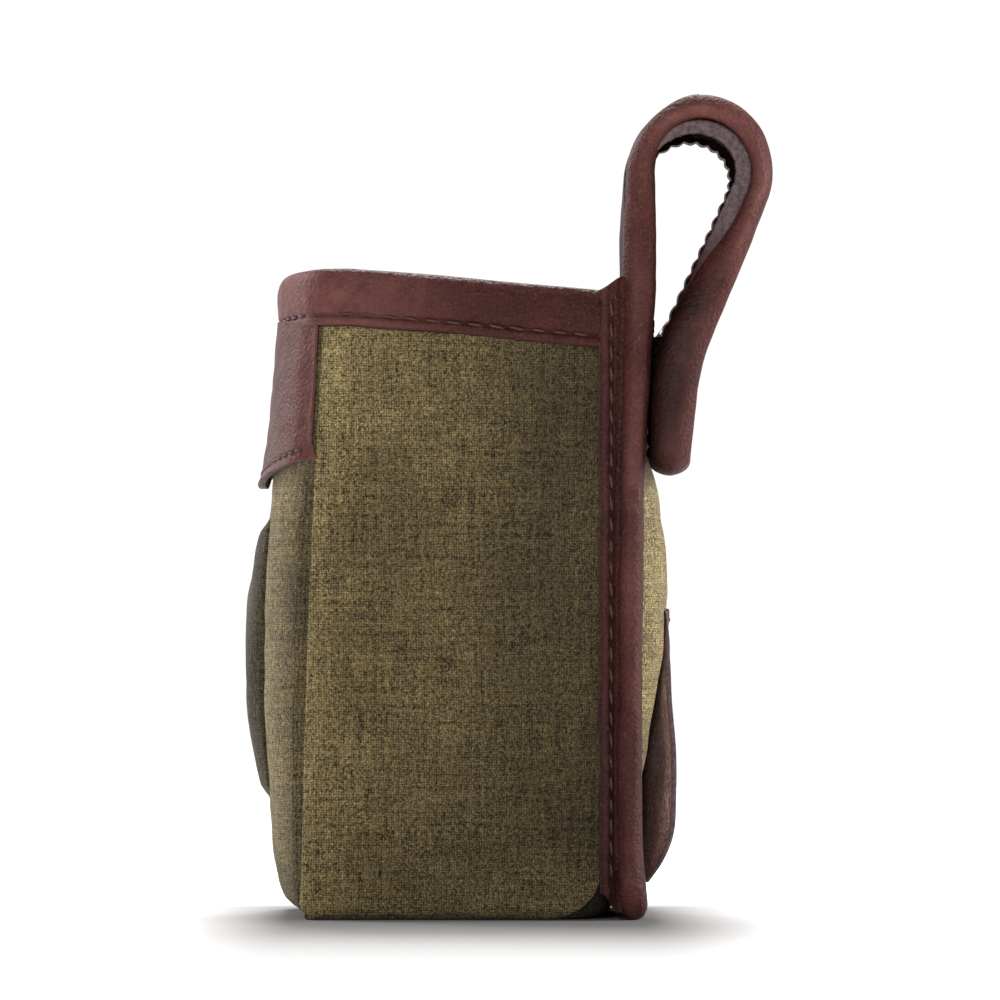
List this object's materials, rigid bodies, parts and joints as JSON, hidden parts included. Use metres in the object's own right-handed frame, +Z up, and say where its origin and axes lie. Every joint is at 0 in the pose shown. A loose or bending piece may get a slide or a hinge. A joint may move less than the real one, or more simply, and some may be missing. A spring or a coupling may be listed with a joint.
{
  "type": "cable organizer pouch",
  "caption": "Open-topped waxed-canvas pouch with leather-bound edges, a front pleat, a rear slip pocket and a fold-over belt loop closed by hook-and-loop tape.",
  "frame": {"origin": "centre of the whole object's footprint box, on the surface that the pouch stands on", "axes": "+Z up; +Y towards the back, the side worn against the body; +X towards the open side of the rear pocket, which is the wearer's side nearest the viewer in a side view"},
  "size_m": [0.092, 0.1157, 0.1769],
  "materials": {
    "canvas": "waxed, matte, coarse weave",
    "leather": "waxed, half matte, pebbled grain",
    "suede": "grain side out, napped matte flesh side in",
    "thread": "waxed thread, satin",
    "loop_tape": "looped pile, matte",
    "hook_tape": "moulded hooks, half matte"
  },
  "bodies": {
    "pouch": {"front_panel": "canvas", "side_panel_right": "canvas", "side_panel_left": "canvas", "bottom_panel": "canvas", "back_panel": "canvas", "front_pleat": "canvas", "front_yoke": "leather", "rim_binding": "leather", "rear_pocket": "suede", "binding_right": "leather", "binding_left": "leather", "binding_bottom": "leather", "soft_tape": "loop_tape", "rim_stitches": "thread", "binding_stitches_right": "thread", "binding_stitches_left": "thread", "yoke_stitches": "thread", "pocket_stitches": "thread", "soft_tape_stitches": "thread"},
    "tongue_fold": {"fold_cloth": "canvas", "fold_binding_right": "leather", "fold_binding_left": "leather"},
    "belt_flap": {"flap_cloth": "canvas", "flap_binding": "leather", "hook_tape": "hook_tape", "flap_stitches": "thread"}
  },
  "joints": [
    {"name": "tongue_bend", "type": "hinge", "parent": "pouch", "child": "tongue_fold", "pos_m": [0, 0.02974, 0.17221], "axis": [1, 0, 0], "range_deg": [0, 60]},
    {"name": "flap_bend", "type": "hinge", "parent": "tongue_fold", "child": "belt_flap", "pos_m": [0, 0.05236, 0.17221], "axis": [1, 0, 0], "range_deg": [0, 60]}
  ],
  "couplings": [
    {"joint": "flap_bend", "follows": "tongue_bend", "ratio": 1}
  ]
}
